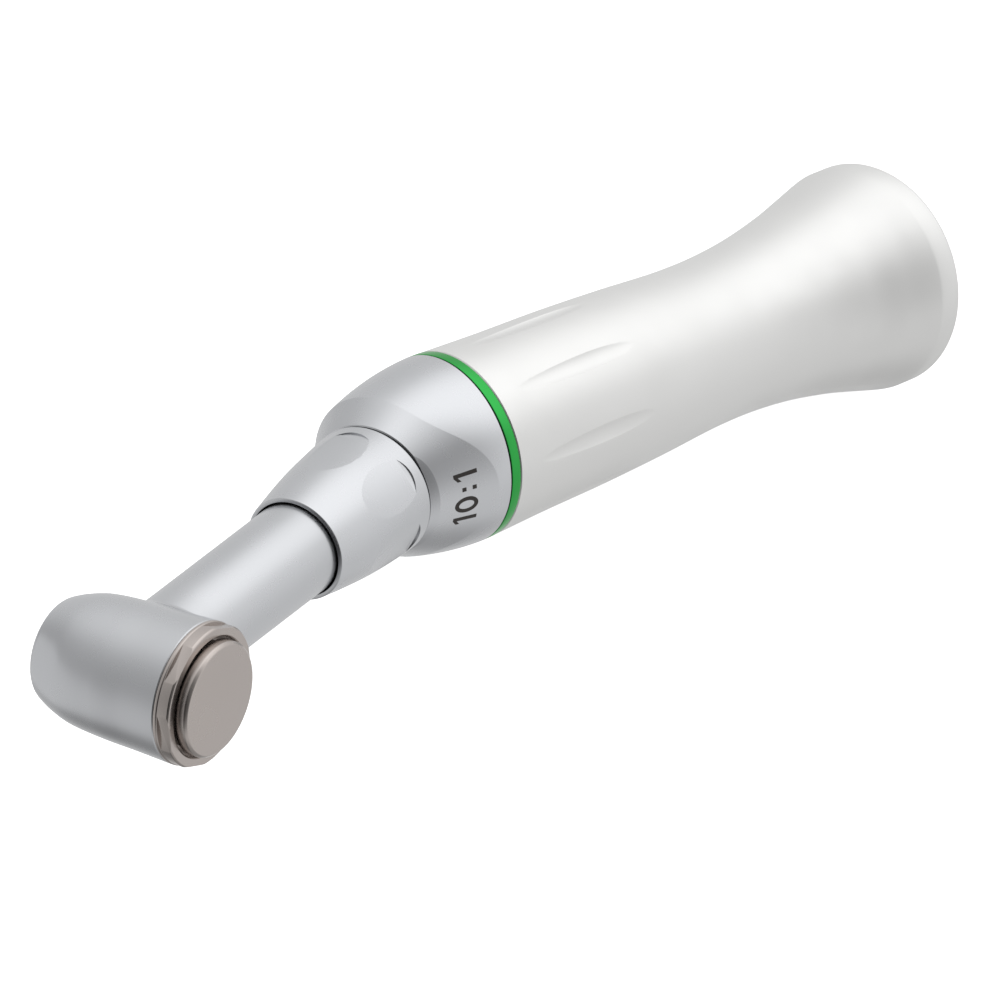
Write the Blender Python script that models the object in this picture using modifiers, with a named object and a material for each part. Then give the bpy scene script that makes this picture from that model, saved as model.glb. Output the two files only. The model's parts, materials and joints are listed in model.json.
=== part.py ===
"""Contra angle handpiece with a 10:1 reduction, lying on its side.

Frame: metres, +Z up.  The origin is on the shank's axis, at the centre of the
drive dog's rear face.  +X runs along the shank towards the motor.  The shank
and the neck meet at the bend, in a horizontal plane, and the push button
faces -Y.

Every size below is in millimetres.  Places along the shank are stations,
counted from the front edge of the colour ring towards the motor.  Places
along the neck are counted from the bend towards the head, and places across
the head from the neck's axis towards the push button.
"""
import math

import bmesh
import bpy
from mathutils import Matrix, Vector

MM = 0.001
UP = Vector((0.0, 0.0, 1.0))

# Driving dimensions
BEND_DEG = 17.0               # between the shank's axis and the neck's
BEND_STATION = -4.22          # where the two axes cross
DOG_FACE = 22.2               # the drive dog's rear face: the origin
SHANK_END = 51.2              # rear rim of the sheath
RING_WIDTH = 0.91             # colour ring
RING_R = 7.57                 # colour ring and front end of the sheath
FLARE_R = 10.0                # rear end of the sheath
RIM_R = 0.55                  # rounding of the sheath's rear rim
WALL = 1.05                   # sheath wall
BORE_FROM, BORE_TO = 14.0, 46.0            # stations between which the bore follows the outside
GEAR_BORE_R = 6.28            # sheath bore round the internal gear
RING_SEAT_R = 6.4             # where the colour ring and the nose's spigot sit
NOSE_SPIGOT_R = 6.25
FRONT_SPIGOT_R = 4.2          # carries the collar
SOCKET_R = 5.0                # bore that takes the motor's nose
MOTOR_FACE = 50.4             # flange that the motor's shoulder meets
NOSE_FRONT = 4.62             # inclined front face of the nose, from the bend
NOSE_FRONT_R = 5.24
SHOULDER_SLOPE = 0.53         # the cone behind the collar, which meets the nose in a crease
COLLAR_END = 15.12
COLLAR_END_R = 3.98
COLLAR_SWELL = 0.22           # how far its outline bulges beyond a cone
COLLAR_BORE_R = 3.78
COLLAR_SEAT_R = 4.4
NECK_FLANGE = 10.95           # flange on the neck tube that the collar pulls back
HEAD_AT = 34.62               # head axis, from the bend
NECK_R = 3.6                  # neck tube at the collar
NECK_END_R = 3.38             # neck tube at the head
NECK_BORE_R = 2.85
BORE_R = 3.42                 # head bore, round the ball bearings
CAP_FROM = 4.93               # joint between the head barrel and its cap
CAP_END = 6.06
CAP_SEAT_R = 4.2
BUTTON_FACE = 6.85
BUTTON_R = 3.95
SPINDLE_R = 1.9
BUR_END = -6.0                # bur side of the head barrel
BUR_R = 1.22                  # bur shank guide inside the spindle
GAP = 0.05                    # between flat faces that touch

# Gear train: one module, and one internal gear that both stages share
MODULE = 0.36
RING_TEETH = 28
SUN_TEETH = (12, 14)
PLANET_TEETH = (8, 7)
PLANET_COUNT = (4, 3)
STAGE_SPAN = ((10.2, 13.0), (5.3, 8.3))    # stations of the planets
PIN_R = 0.45
BEND_GEAR_TEETH = 10
BEND_GEAR_FACE = 0.85         # each face gear's root face, from the bend
BEND_GEAR_TOOTH = 0.75        # tooth height
HEAD_GEAR_TEETH = 14
HEAD_GEAR_R = 2.5
HEAD_GEAR_INNER = 2.15        # where the bevel teeth end, nearest the head axis

SHEATH_OUTLINE = ((0.0, 7.57), (6.7, 7.43), (13.4, 7.38), (20.1, 7.19), (26.9, 6.885), (31.9, 6.95),
                  (36.9, 7.41), (42.0, 8.29), (45.3, 9.07), (48.7, 9.92))
FLUTE_COUNT = 8
FLUTE_TURN_DEG = 39.0
FLUTE_RADII = (1.12, 1.45, 11.6)           # ellipsoid that carves one
FLUTE_AT_R = 8.34
FLUTE_STATION = 11.0
SCALLOP_COUNT = 6
SCALLOP_TURN_DEG = 7.0
SCALLOP_R = 2.5               # end mill that cut the thumb scallops
SCALLOP_FROM = 5.76
SCALLOP_TO = 13.2
SCALLOP_LOW = 4.592           # lowest line of each floor, from the neck's axis
SCALLOP_LOW_AT = 9.78
SCALLOP_SWEEP_R = 23.9        # the floor's lengthwise hollow
CAP_FLAT_COUNT = 6
CAP_FLAT_TURN_DEG = 36.0
CAP_FLAT_AT = 4.66

BEND = math.radians(BEND_DEG)
NECK_DIR = Vector((-math.cos(BEND), -math.sin(BEND), 0.0))
HEAD_DIR = Vector((math.sin(BEND), -math.cos(BEND), 0.0))
BEND_POINT = Vector((BEND_STATION - DOG_FACE, 0.0, 0.0)) * MM
HEAD_POINT = BEND_POINT + NECK_DIR * HEAD_AT * MM


# ---------------------------------------------------------------- set-up
def clear_scene():
    for item in list(bpy.data.objects):
        bpy.data.objects.remove(item, do_unlink=True)


def new_collection(name):
    made = bpy.data.collections.new(name)
    bpy.context.scene.collection.children.link(made)
    return made


def new_material(name, color, roughness, metallic):
    made = bpy.data.materials.new(name)
    made.use_nodes = True
    shader = made.node_tree.nodes["Principled BSDF"]
    shader.inputs["Base Color"].default_value = (*color, 1.0)
    shader.inputs["Roughness"].default_value = roughness
    shader.inputs["Metallic"].default_value = metallic
    made.diffuse_color = (*color, 1.0)
    return made


def new_frame(name, origin, axis):
    """An empty whose local Z is the given axis and whose local X is up."""
    empty = bpy.data.objects.new(name, None)
    PARTS.objects.link(empty)
    side = axis.cross(UP)
    turn = Matrix((UP, side, axis)).transposed().to_4x4()
    empty.matrix_world = Matrix.Translation(origin) @ turn
    return empty


def finish_mesh(name, mesh, frame, material, cutter):
    """Link a mesh as a part, or as a cutter where it has no material of its own."""
    mesh.shade_smooth()
    mesh.set_sharp_from_angle(angle=math.radians(30.0))
    item = bpy.data.objects.new(name, mesh)
    (CUTTERS if cutter else PARTS).objects.link(item)
    item.parent = frame
    if cutter:
        item.hide_render = True
        item.display_type = "WIRE"
    else:
        mesh.materials.append(material)
    return item


# ---------------------------------------------------------------- shapes
def turned(name, frame, outline, material=None, sides=24, turn_deg=0.0):
    """Turn (radius, height) points round the frame's Z with a Screw modifier."""
    area = sum(a[0] * b[1] - b[0] * a[1] for a, b in zip(outline, outline[1:] + outline[:1]))
    points = list(reversed(outline)) if area > 0 else list(outline)
    closed = min(point[0] for point in points) > 0.0
    if not closed:
        while not (points[0][0] == 0.0 and points[-1][0] == 0.0):
            points = points[1:] + points[:1]
    mesh = bpy.data.meshes.new(name)
    edges = [(i, i + 1) for i in range(len(points) - 1)]
    if closed:
        edges.append((len(points) - 1, 0))
    mesh.from_pydata([(r * MM, 0.0, z * MM) for r, z in points], edges, [])
    item = finish_mesh(name, mesh, frame, material, material is None)
    item.rotation_euler.z = math.radians(turn_deg)
    screw = item.modifiers.new("turned", "SCREW")
    screw.axis = "Z"
    screw.steps = sides
    screw.render_steps = sides
    screw.use_merge_vertices = True
    screw.merge_threshold = 0.000001
    return item


def tube(name, frame, r_in, r_out, z_from, z_to, material=None, sides=24):
    outline = [(r_out, z_to), (r_out, z_from), (r_in, z_from), (r_in, z_to)]
    return turned(name, frame, outline, material, sides)


def rod(name, frame, radius, z_from, z_to, material=None, sides=24):
    outline = [(0.0, z_to), (radius, z_to), (radius, z_from), (0.0, z_from)]
    return turned(name, frame, outline, material, sides)


def plate(name, frame, outlines, z_from, z_to, material=None, end_scale=1.0):
    """Extrude a flat outline, with any holes, from one height to another."""
    curve = bpy.data.curves.new(name, "CURVE")
    curve.dimensions = "2D"
    curve.fill_mode = "BOTH"
    curve.extrude = (z_to - z_from) / 2 * MM
    for outline in outlines:
        spline = curve.splines.new("POLY")
        spline.points.add(len(outline) - 1)
        for point, (x, y) in zip(spline.points, outline):
            point.co = (x * MM, y * MM, 0.0, 1.0)
        spline.use_cyclic_u = True
    guide = bpy.data.objects.new(name, curve)
    CUTTERS.objects.link(guide)
    view = bpy.context.evaluated_depsgraph_get()
    mesh = bpy.data.meshes.new_from_object(guide.evaluated_get(view))
    bpy.data.objects.remove(guide)
    shell = bmesh.new()
    shell.from_mesh(mesh)
    bmesh.ops.remove_doubles(shell, verts=shell.verts, dist=0.000001)
    for vert in shell.verts:
        if end_scale != 1.0 and vert.co.z > 0.0:
            vert.co.x *= end_scale
            vert.co.y *= end_scale
    bmesh.ops.translate(shell, verts=shell.verts, vec=(0.0, 0.0, (z_from + z_to) / 2 * MM))
    bmesh.ops.recalc_face_normals(shell, faces=shell.faces)
    shell.to_mesh(mesh)
    shell.free()
    return finish_mesh(name, mesh, frame, material, material is None)


def loft(name, frame, rings, material=None):
    """Join equal rings of points, in order, into one closed skin."""
    shell = bmesh.new()
    levels = [[shell.verts.new(point * MM) for point in ring] for ring in rings]
    count = len(rings[0])
    shell.faces.new(levels[0])
    shell.faces.new(levels[-1])
    for low, high in zip(levels, levels[1:]):
        for i in range(count):
            j = (i + 1) % count
            shell.faces.new((low[i], low[j], high[j], high[i]))
    bmesh.ops.recalc_face_normals(shell, faces=shell.faces)
    mesh = bpy.data.meshes.new(name)
    shell.to_mesh(mesh)
    shell.free()
    return finish_mesh(name, mesh, frame, material, material is None)


def block(name, frame, size, place, turn_deg=0.0, material=None):
    """A box, turned about the frame's Z after it is placed."""
    shell = bmesh.new()
    bmesh.ops.create_cube(shell, size=1.0)
    bmesh.ops.scale(shell, verts=shell.verts, vec=Vector(size) * MM)
    bmesh.ops.translate(shell, verts=shell.verts, vec=Vector(place) * MM)
    turn = Matrix.Rotation(math.radians(turn_deg), 3, "Z")
    bmesh.ops.rotate(shell, verts=shell.verts, matrix=turn)
    mesh = bpy.data.meshes.new(name)
    shell.to_mesh(mesh)
    shell.free()
    return finish_mesh(name, mesh, frame, material, material is None)


def scallop_cutter(name, turn_deg, round_steps=5, straight_steps=4):
    """What is milled away for one thumb scallop: round at the rear, with a hollow floor."""
    rows = []
    for i in range(round_steps + 1):
        angle = 0.04 + (math.pi / 2 - 0.04) * i / round_steps
        rows.append((SCALLOP_FROM + SCALLOP_R * (1 - math.cos(angle)), SCALLOP_R * math.sin(angle)))
    round_end = rows[-1][0]
    for i in range(1, straight_steps + 1):
        rows.append((round_end + (SCALLOP_TO - round_end) * i / straight_steps, SCALLOP_R))
    top = SCALLOP_LOW + 2.4
    rings = []
    for z, half in rows:
        floor = SCALLOP_LOW + (z - SCALLOP_LOW_AT) ** 2 / (2 * SCALLOP_SWEEP_R)
        corners = ((floor, -half), (floor, half), (top, half), (top, -half))
        rings.append([Vector((x, y, z)) for x, y in corners])
    cutter = loft(name, NECK, rings)
    cutter.rotation_euler.z = math.radians(turn_deg)
    return cutter


def ball(name, frame, radii, place, turn_deg=0.0, sides=16):
    """An ellipsoid, turned about the frame's Z after it is placed."""
    shell = bmesh.new()
    bmesh.ops.create_uvsphere(shell, u_segments=sides, v_segments=sides // 2, radius=1.0)
    bmesh.ops.scale(shell, verts=shell.verts, vec=Vector(radii) * MM)
    bmesh.ops.translate(shell, verts=shell.verts, vec=Vector(place) * MM)
    turn = Matrix.Rotation(math.radians(turn_deg), 3, "Z")
    bmesh.ops.rotate(shell, verts=shell.verts, matrix=turn)
    mesh = bpy.data.meshes.new(name)
    shell.to_mesh(mesh)
    shell.free()
    return finish_mesh(name, mesh, frame, None, True)


def coil(name, frame, radius, wire_r, z_from, z_to, turns, material):
    """An open coil spring whose ends lie between the two heights."""
    steps = 10 * turns
    curve = bpy.data.curves.new(name, "CURVE")
    curve.dimensions = "3D"
    curve.bevel_depth = wire_r * MM
    curve.bevel_resolution = 0
    curve.use_fill_caps = True
    spline = curve.splines.new("POLY")
    spline.points.add(steps)
    for i, point in enumerate(spline.points):
        angle = 2 * math.pi * turns * i / steps
        z = z_from + wire_r + (z_to - z_from - 2 * wire_r) * i / steps
        point.co = (radius * math.cos(angle) * MM, radius * math.sin(angle) * MM, z * MM, 1.0)
    curve.materials.append(material)
    item = bpy.data.objects.new(name, curve)
    PARTS.objects.link(item)
    item.parent = frame
    return item


def combine(target, tool, operation):
    step = target.modifiers.new(tool.name, "BOOLEAN")
    step.operation = operation
    step.solver = "EXACT"
    step.object = tool


def cut(target, *tools):
    for tool in tools:
        combine(target, tool, "DIFFERENCE")


def join(target, *tools):
    for tool in tools:
        combine(target, tool, "UNION")


def circle(radius, sides, centre=(0.0, 0.0)):
    angles = [2 * math.pi * i / sides for i in range(sides)]
    return [(centre[0] + radius * math.cos(a), centre[1] + radius * math.sin(a)) for a in angles]


def arc(centre, radius, from_deg, to_deg, steps):
    """Points of an arc in the (radius, height) plane."""
    angles = [math.radians(from_deg + (to_deg - from_deg) * i / steps) for i in range(steps + 1)]
    return [(centre[0] + radius * math.cos(a), centre[1] + radius * math.sin(a)) for a in angles]


def toothed(teeth, pitch_r, phase=0.0, addendum=0.24, dedendum=0.34, inward=False):
    """A toothed outline: straight-sided teeth with running backlash."""
    step = 2 * math.pi / teeth
    tip_r = pitch_r - addendum if inward else pitch_r + addendum
    root_r = pitch_r + dedendum if inward else pitch_r - dedendum
    points = []
    for i in range(teeth):
        middle = phase + i * step
        for radius, side in ((root_r, -0.29), (tip_r, -0.11), (tip_r, 0.11), (root_r, 0.29)):
            angle = middle + side * step
            points.append((radius * math.cos(angle), radius * math.sin(angle)))
    return points


# ---------------------------------------------------------------- places
def shank(station):
    """Height along the shank frame's Z for a station."""
    return station - DOG_FACE


def planet_radius(stage):
    return MODULE * (SUN_TEETH[stage] + PLANET_TEETH[stage]) / 2


def planet_angle(stage, index):
    return 2 * math.pi * index / PLANET_COUNT[stage]


def planet_phase(stage, index):
    """A planet's turn that puts its teeth in mesh with the internal gear."""
    place = planet_angle(stage, index)
    return place - (RING_TEETH * place - math.pi) / PLANET_TEETH[stage]


def sun_phase(stage):
    teeth = PLANET_TEETH[stage]
    return (teeth * (math.pi - planet_phase(stage, 0)) - math.pi) / SUN_TEETH[stage]


# ---------------------------------------------------------------- shank shells
def build_sheath():
    outer = [(r, shank(s)) for s, r in SHEATH_OUTLINE if s > RING_WIDTH]
    rim_z = shank(SHANK_END) - RIM_R
    outline = [(RING_R - 0.02, shank(RING_WIDTH + GAP))] + outer
    outline += arc((FLARE_R - RIM_R, rim_z), RIM_R, 0.0, 90.0, 3)
    outline += [(FLARE_R - WALL, shank(SHANK_END)), (FLARE_R - WALL, shank(48.6))]
    for s, r in reversed(SHEATH_OUTLINE):
        if BORE_FROM < s < BORE_TO:
            outline.append((r - WALL, shank(s)))
    outline += [(GEAR_BORE_R, shank(BORE_FROM)), (GEAR_BORE_R, shank(3.5)), (RING_SEAT_R, shank(3.4)),
                (RING_SEAT_R, shank(RING_WIDTH + GAP))]
    sheath = turned("body_sheath", SHANK, outline, SATIN, sides=40)
    for i in range(FLUTE_COUNT):
        name = "flute_cutter_%d" % (i + 1)
        turn = FLUTE_TURN_DEG + i * 360.0 / FLUTE_COUNT
        cut(sheath, ball(name, SHANK, FLUTE_RADII, (FLUTE_AT_R, 0.0, shank(FLUTE_STATION)), turn))


def nose_radius(station):
    """Outside of the nose round the shank's axis, in front of the colour ring."""
    return RING_R + 0.04 * station - 0.02 * station * station


def shoulder_radius(place):
    """Outside of the nose's shoulder round the neck's axis, behind the collar."""
    return NOSE_FRONT_R + SHOULDER_SLOPE * (NOSE_FRONT - place)


def build_nose():
    """The casing in front of the ring: where a shank cone and a neck cone cross."""
    places = [shank(-GAP - 1.5 * i) for i in range(8)]
    outline = [(0.0, places[0])] + [(nose_radius(z + DOG_FACE), z) for z in places] + [(0.0, places[-1])]
    nose = turned("nose_casing", SHANK, outline, SATIN_BLUE, sides=40)
    shoulder = [(0.0, NOSE_FRONT)]
    shoulder += [(shoulder_radius(NOSE_FRONT - 2.0 * i), NOSE_FRONT - 2.0 * i) for i in range(8)]
    shoulder.append((0.0, NOSE_FRONT - 14.0))
    combine(nose, turned("nose_shoulder", NECK, shoulder, sides=40), "INTERSECT")
    join(nose, rod("rear_spigot", SHANK, NOSE_SPIGOT_R, shank(-2.0), shank(3.0), sides=32),
         rod("front_spigot", NECK, FRONT_SPIGOT_R, 2.0, 9.2, sides=32))
    cut(nose, rod("bearing_seat_cutter", SHANK, 4.5, shank(-1.6), shank(4.0), sides=32),
        rod("shank_bore_cutter", SHANK, 3.3, shank(-5.2), shank(0.0), sides=32),
        rod("neck_bore_cutter", NECK, 3.32, -1.2, 10.0, sides=32))


def build_ratio_ring():
    outline = [(RING_R, shank(RING_WIDTH)), (RING_R, shank(0.0)), (RING_SEAT_R, shank(0.0)),
               (RING_SEAT_R, shank(RING_WIDTH))]
    turned("ratio_ring", SHANK, outline, GREEN, sides=40)


def build_coupling():
    """The sleeve that takes the motor's nose, with its clip and locating pin."""
    outline = [(8.6, shank(MOTOR_FACE)), (8.6, shank(48.8)), (5.6, shank(48.4)), (5.6, shank(13.7)),
               (4.65, shank(13.7)), (4.65, shank(16.4)), (4.1, shank(16.4)), (4.1, shank(18.7)),
               (SOCKET_R, shank(18.7)), (SOCKET_R, shank(25.0)), (5.32, shank(25.0)), (5.32, shank(25.7)),
               (SOCKET_R, shank(25.7)), (SOCKET_R, shank(49.9)), (5.5, shank(MOTOR_FACE))]
    sleeve = turned("coupling_sleeve", SHANK, outline, STEEL, sides=24)
    pin_at = (7.2, 0.0)
    cut(sleeve, plate("pin_hole_cutter", SHANK, [circle(0.6, 12, pin_at)], shank(49.2), shank(51.0)))
    plate("locating_pin", SHANK, [circle(0.5, 12, pin_at)], shank(49.3), shank(51.1), STEEL)
    clip = tube("motor_retaining_clip", SHANK, 4.86, 5.24, shank(25.08), shank(25.62), SPRING_STEEL)
    cut(clip, block("clip_gap_cutter", SHANK, (2.0, 1.6, 2.0), (-5.0, 0.0, shank(25.35))))


# ---------------------------------------------------------------- gear train
def build_ring_gear():
    inner = toothed(RING_TEETH, MODULE * RING_TEETH / 2, inward=True)
    plate("ring_gear", SHANK, [circle(6.1, 56), inner], shank(4.9), shank(13.4), STEEL)


def build_planets():
    for stage in range(2):
        for index in range(PLANET_COUNT[stage]):
            place = planet_angle(stage, index)
            radius = planet_radius(stage)
            centre = (radius * math.cos(place), radius * math.sin(place))
            count = PLANET_TEETH[stage]
            teeth = toothed(count, MODULE * count / 2, planet_phase(stage, index))
            moved = [(x + centre[0], y + centre[1]) for x, y in teeth]
            z_from, z_to = (shank(s) for s in STAGE_SPAN[stage])
            name = "planet_gear_%d%s" % (stage + 1, "abcd"[index])
            plate(name, SHANK, [moved, circle(PIN_R + 0.08, 12, centre)], z_from, z_to, STEEL)


def carrier_pins(carrier, stage, z_from, z_to):
    for index in range(PLANET_COUNT[stage]):
        place = planet_angle(stage, index)
        centre = (planet_radius(stage) * math.cos(place), planet_radius(stage) * math.sin(place))
        name = "carrier_%d_pin_%d" % (stage + 1, index + 1)
        join(carrier, plate(name, SHANK, [circle(PIN_R, 12, centre)], z_from, z_to))


def build_input_shaft():
    """First sun gear, bearing journal, spring seat and hexagon that drives from the dog."""
    outline = [(0.0, shank(17.0)), (1.25, shank(17.0)), (1.25, shank(16.95)), (2.9, shank(16.95)),
               (2.9, shank(16.55)), (1.55, shank(16.55)), (1.55, shank(13.6)), (1.3, shank(13.6)),
               (1.3, shank(13.2)), (0.0, shank(13.2))]
    shaft = turned("input_shaft", SHANK, outline, STEEL, sides=24)
    sun = toothed(SUN_TEETH[0], MODULE * SUN_TEETH[0] / 2, sun_phase(0))
    join(shaft, plate("input_sun_teeth", SHANK, [sun], shank(10.1), shank(13.3)),
         rod("input_hexagon", SHANK, 1.25, shank(16.8), shank(18.95), sides=6))


def build_carrier_1():
    """First planet carrier, with the second sun gear in front of it."""
    carrier = rod("planet_carrier_1", SHANK, 4.6, shank(8.75), shank(9.9), STEEL, sides=32)
    carrier_pins(carrier, 0, shank(9.5), shank(13.15))
    sun = toothed(SUN_TEETH[1], MODULE * SUN_TEETH[1] / 2, sun_phase(1))
    join(carrier, plate("second_sun_teeth", SHANK, [sun], shank(5.2), shank(9.0)))


def face_teeth(name, frame, teeth, r_in, r_out, z_root, z_tip, phase):
    """Radial teeth on a round face, each a wedge with a narrower tip."""
    tools = []
    for i in range(teeth):
        middle = phase + 2 * math.pi * i / teeth
        rings = []
        for z, share in ((z_root, 0.24), (z_tip, 0.15)):
            half = share * 2 * math.pi / teeth
            ring = []
            for radius, side in ((r_in, -1), (r_out, -1), (r_out, 1), (r_in, 1)):
                angle = middle + side * half
                ring.append(Vector((radius * math.cos(angle), radius * math.sin(angle), z)))
            rings.append(ring)
        tools.append(loft("%s_%d" % (name, i + 1), frame, rings))
    return tools


def build_output_shaft():
    """Second planet carrier, output journal and the face gear at the bend."""
    face = BEND_STATION + BEND_GEAR_FACE
    outline = [(0.0, shank(4.75)), (4.6, shank(4.75)), (4.6, shank(3.6)), (2.3, shank(3.6)),
               (2.3, shank(1.7)), (1.75, shank(1.7)), (1.75, shank(-1.6)), (2.0, shank(-1.7)),
               (2.7, shank(-2.4)), (2.7, shank(face)), (0.0, shank(face))]
    shaft = turned("output_shaft", SHANK, outline, STEEL, sides=32)
    carrier_pins(shaft, 1, shank(4.5), shank(8.45))
    join(shaft, *face_teeth("output_tooth", SHANK, BEND_GEAR_TEETH, 1.5, 2.65,
                            shank(face + 0.1), shank(face - BEND_GEAR_TOOTH), math.pi / 2))


def bearing(prefix, frame, r_in, r_out, z_from, z_to, balls):
    """Inner ring, outer ring and the balls in their cage."""
    ring = 0.24 * (r_out - r_in)
    middle = (r_in + r_out) / 2
    ball_r = (r_out - r_in) / 2 - ring - 0.05
    half = (z_to - z_from) / 2
    z_mid = (z_from + z_to) / 2
    tube(prefix + "_outer_ring", frame, r_out - ring, r_out, z_from, z_to, STEEL, sides=20)
    tube(prefix + "_inner_ring", frame, r_in, r_in + ring, z_from, z_to, STEEL, sides=20)
    web = ball_r * 0.45
    cage = tube(prefix + "_ball_cage", frame, middle - web, middle + web, z_mid - half * 0.7,
                z_mid + half * 0.7, BRONZE, sides=14)
    for i in range(balls):
        name = "%s_ball_%d" % (prefix, i + 1)
        size = (ball_r, ball_r, ball_r)
        join(cage, ball(name, frame, size, (middle, 0.0, z_mid), 360.0 * i / balls, sides=8))


def build_drive_dog():
    """Sprung dog: a tongue on a round body, with a hexagon socket for the shaft."""
    outline = [(0.0, shank(21.0)), (2.7, shank(21.0)), (2.7, shank(19.2)), (2.05, shank(19.2)),
               (2.05, shank(18.25)), (0.0, shank(18.25))]
    dog = turned("drive_dog", SHANK, outline, STEEL, sides=24)
    join(dog, block("dog_tongue", SHANK, (5.0, 1.6, 2.0), (0.0, 0.0, shank(DOG_FACE - 1.0))))
    cut(dog, rod("dog_socket_cutter", SHANK, 1.42, shank(17.0), shank(20.2), sides=6))
    coil("dog_spring", SHANK, 2.45, 0.17, shank(17.05), shank(19.1), 3, SPRING_STEEL)


# ---------------------------------------------------------------- collar and neck
def build_collar():
    """The union nut: a waisted cone with thumb scallops round its rear half."""
    outer = []
    for i in range(7):
        part = i / 6
        cone = NOSE_FRONT_R + (COLLAR_END_R - NOSE_FRONT_R) * part
        height = NOSE_FRONT + GAP + (COLLAR_END - NOSE_FRONT - GAP) * part
        outer.append((cone + COLLAR_SWELL * math.sin(math.pi * part), height))
    inner = [(COLLAR_BORE_R, COLLAR_END), (COLLAR_BORE_R, 11.4), (COLLAR_SEAT_R, 11.4),
             (COLLAR_SEAT_R, NOSE_FRONT + GAP)]
    nut = turned("collar_nut", NECK, outer + inner, SATIN_BLUE, sides=36)
    for i in range(SCALLOP_COUNT):
        name = "scallop_cutter_%d" % (i + 1)
        turn = SCALLOP_TURN_DEG + i * 360.0 / SCALLOP_COUNT
        cut(nut, scallop_cutter(name, turn))
    tube("nut_washer", NECK, COLLAR_BORE_R, 4.25, 11.0, 11.25, BRONZE, sides=24)
    seal = arc((3.72, 9.5), 0.22, 0.0, 300.0, 5)
    turned("neck_seal", NECK, seal, RUBBER, sides=24)


def build_head_housing():
    """Head barrel and neck tube in one piece, bored for the gears and bearings."""
    barrel_outline = [(0.0, CAP_FROM - GAP), (4.91, CAP_FROM - GAP), (4.826, 2.255), (4.777, -0.386),
                      (4.579, -3.03), (4.2, -4.5), (3.71, -5.667), (3.5, -5.9), (3.2, BUR_END),
                      (0.0, BUR_END)]
    housing = turned("head_housing", HEAD, barrel_outline, SATIN_BLUE, sides=36)
    neck_outline = [(0.0, HEAD_AT - 3.6), (NECK_END_R, HEAD_AT - 3.6), (NECK_END_R, HEAD_AT - 5.0),
                    (NECK_R - 0.04, COLLAR_END), (NECK_R, NECK_FLANGE), (4.2, NECK_FLANGE), (4.2, 9.8),
                    (3.2, 9.8), (3.2, 5.2), (0.0, 5.2)]
    join(housing, turned("neck_tube", NECK, neck_outline, sides=32))
    cut(housing, rod("neck_bore", NECK, NECK_BORE_R, 4.0, HEAD_AT - 2.0, sides=32),
        rod("head_bore", HEAD, BORE_R, -5.3, 6.0, sides=32),
        rod("cap_seat", HEAD, CAP_SEAT_R, 3.45, 6.0, sides=32),
        rod("spindle_hole", HEAD, 2.05, -7.0, 0.0, sides=24))


def bevel_teeth(name, frame, z_large, z_small, phase):
    """Bevel teeth that narrow towards the crossing of the two gears' axes."""
    outline = toothed(HEAD_GEAR_TEETH, HEAD_GEAR_R, phase)
    return plate(name, frame, [outline], z_large, z_small, end_scale=HEAD_GEAR_INNER / HEAD_GEAR_R)


def build_neck_shaft():
    """Shaft along the neck: face gear at the bend, bevel pinion at the head."""
    face = BEND_GEAR_FACE
    front = HEAD_AT - HEAD_GEAR_R
    outline = [(0.0, front + 0.1), (2.05, front + 0.1), (2.05, front - 0.7), (0.8, front - 1.0),
               (0.8, 3.4), (2.7, 2.2), (2.7, face), (0.0, face)]
    shaft = turned("neck_shaft", NECK, outline, STEEL, sides=24)
    half_step = math.pi / BEND_GEAR_TEETH
    join(shaft, *face_teeth("shaft_tooth", NECK, BEND_GEAR_TEETH, 1.5, 2.65, face + 0.1,
                            face - BEND_GEAR_TOOTH, -math.pi / 2 + half_step))
    join(shaft, bevel_teeth("pinion_teeth", NECK, front, HEAD_AT - HEAD_GEAR_INNER, math.pi / 2))
    tube("neck_rear_bush", NECK, 0.9, NECK_BORE_R - 0.06, 6.4, 9.2, BRONZE)
    tube("neck_front_bush", NECK, 0.9, NECK_BORE_R - 0.06, 27.2, 30.2, BRONZE)


# ---------------------------------------------------------------- head
def build_spindle():
    """Hollow chuck spindle with its bevel gear, collet, release pusher and spring."""
    outline = [(SPINDLE_R, 4.0), (SPINDLE_R, -2.4), (2.1, -2.4), (2.1, -3.2), (SPINDLE_R, -3.25),
               (SPINDLE_R, -6.15), (1.8, -6.25), (BUR_R + 0.15, -6.25), (BUR_R, -6.1), (BUR_R, -1.0),
               (1.52, -1.0), (1.52, 4.0)]
    spindle = turned("chuck_spindle", HEAD, outline, STEEL, sides=24)
    phase = math.pi / HEAD_GEAR_TEETH - math.pi / 2
    teeth = toothed(HEAD_GEAR_TEETH, HEAD_GEAR_R, phase)
    gear = plate("spindle_teeth", HEAD, [teeth], -HEAD_GEAR_R, -HEAD_GEAR_INNER,
                 end_scale=HEAD_GEAR_INNER / HEAD_GEAR_R)
    cut(gear, rod("spindle_gear_bore", HEAD, 1.7, -4.0, 0.0, sides=24))
    join(spindle, gear)
    collet = tube("chuck_collet", HEAD, 1.2, 1.44, -0.9, 1.85, SPRING_STEEL)
    for i in range(2):
        cut(collet, block("collet_slot_%d" % (i + 1), HEAD, (4.0, 0.3, 3.0), (0.0, 0.0, 1.6), 90.0 * i))
    pusher = [(0.0, 4.97), (0.9, 4.97), (0.9, 3.5), (1.42, 3.5), (1.42, 3.1), (1.0, 3.1), (1.0, 2.6),
              (0.5, 2.15), (0.0, 2.15)]
    turned("release_pusher", HEAD, pusher, STEEL)
    coil("pusher_spring", HEAD, 1.24, 0.1, 1.92, 3.04, 3, SPRING_STEEL)


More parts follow.
